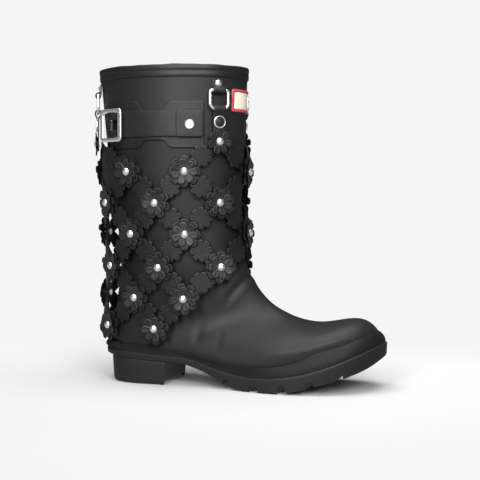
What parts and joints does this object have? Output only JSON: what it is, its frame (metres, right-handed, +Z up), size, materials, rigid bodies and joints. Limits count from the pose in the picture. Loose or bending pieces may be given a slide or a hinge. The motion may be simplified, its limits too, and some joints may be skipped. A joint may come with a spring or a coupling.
{
  "type": "rubber boot",
  "caption": "Short rubber Wellington boot with a lugged sole, a buckled calf strap and a hanging net of riveted rubber flowers on D-ring hangers.",
  "frame": {"origin": "on the floor plane under the leg's centre line, at the front of the heel block's flat bottom", "axes": "+X toward the toe, +Y toward the inner side of the foot, +Z up the leg"},
  "size_m": [0.2846, 0.1171, 0.3005],
  "materials": {
    "binding_rubber": "satin",
    "bright_metal": "polished",
    "insole_board": "matte",
    "insole_fabric": "matte",
    "label_cream": "satin",
    "label_red": "satin",
    "lining_fabric": "matte",
    "net_rubber": "satin",
    "rand_rubber": "satin",
    "snap_metal": "polished",
    "sole_rubber": "matte",
    "strap_leather": "satin",
    "upper_rubber": "satin"
  },
  "bodies": {
    "boot": {"base_flowers": "net_rubber", "buckle_keeper": "strap_leather", "flower_net": "net_rubber", "hanger_tab_1": "strap_leather", "hanger_tab_2": "strap_leather", "hanger_tab_3": "strap_leather", "hanger_tab_4": "strap_leather", "hanger_tab_5": "strap_leather", "heel_block": "sole_rubber", "heel_spur": "sole_rubber", "insole": "insole_fabric", "insole_board": "insole_board", "label_border": "label_red", "label_face": "label_cream", "lining": "lining_fabric", "link_flowers": "net_rubber", "net_rivets_row_2": "bright_metal", "net_rivets_row_3": "bright_metal", "net_rivets_row_4": "bright_metal", "net_rivets_row_5": "bright_metal", "net_rivets_row_6": "bright_metal", "net_rivets_row_7": "bright_metal", "outsole": "sole_rubber", "rand": "rand_rubber", "strap_patch": "strap_leather", "tab_rivets": "bright_metal", "top_binding": "binding_rubber", "top_flowers": "net_rubber", "upper_shell": "upper_rubber"},
    "ring_1": {"d_ring_1": "bright_metal"},
    "hanger_1": {"hanger_strap_1": "strap_leather", "hanger_snap_1": "snap_metal", "hanger_flower_1": "net_rubber", "hanger_rivet_1": "bright_metal"},
    "ring_2": {"d_ring_2": "bright_metal"},
    "hanger_2": {"hanger_strap_2": "strap_leather", "hanger_snap_2": "snap_metal", "hanger_flower_2": "net_rubber", "hanger_rivet_2": "bright_metal"},
    "ring_3": {"d_ring_3": "bright_metal"},
    "hanger_3": {"hanger_strap_3": "strap_leather", "hanger_snap_3": "snap_metal", "hanger_flower_3": "net_rubber", "hanger_rivet_3": "bright_metal"},
    "ring_4": {"d_ring_4": "bright_metal"},
    "hanger_4": {"hanger_strap_4": "strap_leather", "hanger_snap_4": "snap_metal", "hanger_flower_4": "net_rubber", "hanger_rivet_4": "bright_metal"},
    "ring_5": {"d_ring_5": "bright_metal"},
    "hanger_5": {"hanger_strap_5": "strap_leather", "hanger_snap_5": "snap_metal", "hanger_flower_5": "net_rubber", "hanger_rivet_5": "bright_metal"},
    "strap_and_buckle": {"strap": "strap_leather", "strap_tab": "strap_leather", "strap_stud": "bright_metal", "buckle_frame": "bright_metal"}
  },
  "joints": [
    {"name": "ring_1_swing", "type": "hinge", "parent": "boot", "child": "ring_1", "pos_m": [0.05803, -0.03618, 0.276], "axis": [-0.7653, -0.6437, 0], "range_deg": [0, 25]},
    {"name": "hanger_1_hang", "type": "hinge", "parent": "ring_1", "child": "hanger_1", "pos_m": [0.05803, -0.03618, 0.259], "axis": [-0.7653, -0.6437, 0], "range_deg": [-25, 0]},
    {"name": "ring_2_swing", "type": "hinge", "parent": "boot", "child": "ring_2", "pos_m": [0.05899, 0.03536, 0.276], "axis": [0.7524, -0.6586, 0], "range_deg": [0, 25]},
    {"name": "hanger_2_hang", "type": "hinge", "parent": "ring_2", "child": "hanger_2", "pos_m": [0.05899, 0.03536, 0.259], "axis": [0.7524, -0.6586, 0], "range_deg": [-25, 0]},
    {"name": "ring_3_swing", "type": "hinge", "parent": "boot", "child": "ring_3", "pos_m": [0.00059, 0.05523, 0.276], "axis": [1, 0, 0], "range_deg": [0, 25]},
    {"name": "hanger_3_hang", "type": "hinge", "parent": "ring_3", "child": "hanger_3", "pos_m": [0.00059, 0.05523, 0.259], "axis": [1, 0, 0], "range_deg": [-25, 0]},
    {"name": "ring_4_swing", "type": "hinge", "parent": "boot", "child": "ring_4", "pos_m": [-0.05782, 0.03536, 0.276], "axis": [0.7524, 0.6586, 0], "range_deg": [0, 25]},
    {"name": "hanger_4_hang", "type": "hinge", "parent": "ring_4", "child": "hanger_4", "pos_m": [-0.05782, 0.03536, 0.259], "axis": [0.7524, 0.6586, 0], "range_deg": [-25, 0]},
    {"name": "ring_5_swing", "type": "hinge", "parent": "boot", "child": "ring_5", "pos_m": [-0.07143, -0.01753, 0.276], "axis": [-0.4155, 0.9096, 0], "range_deg": [0, 25]},
    {"name": "hanger_5_hang", "type": "hinge", "parent": "ring_5", "child": "hanger_5", "pos_m": [-0.07143, -0.01753, 0.259], "axis": [-0.4155, 0.9096, 0], "range_deg": [-25, 0]},
    {"name": "strap_lift", "type": "hinge", "parent": "boot", "child": "strap_and_buckle", "pos_m": [-0.04654, -0.04238, 0.2455], "axis": [0, 0, -1], "range_deg": [0, 12]}
  ],
  "couplings": [
    {"joint": "hanger_1_hang", "follows": "ring_1_swing", "ratio": -1},
    {"joint": "hanger_2_hang", "follows": "ring_2_swing", "ratio": -1},
    {"joint": "hanger_3_hang", "follows": "ring_3_swing", "ratio": -1},
    {"joint": "hanger_4_hang", "follows": "ring_4_swing", "ratio": -1},
    {"joint": "hanger_5_hang", "follows": "ring_5_swing", "ratio": -1}
  ]
}
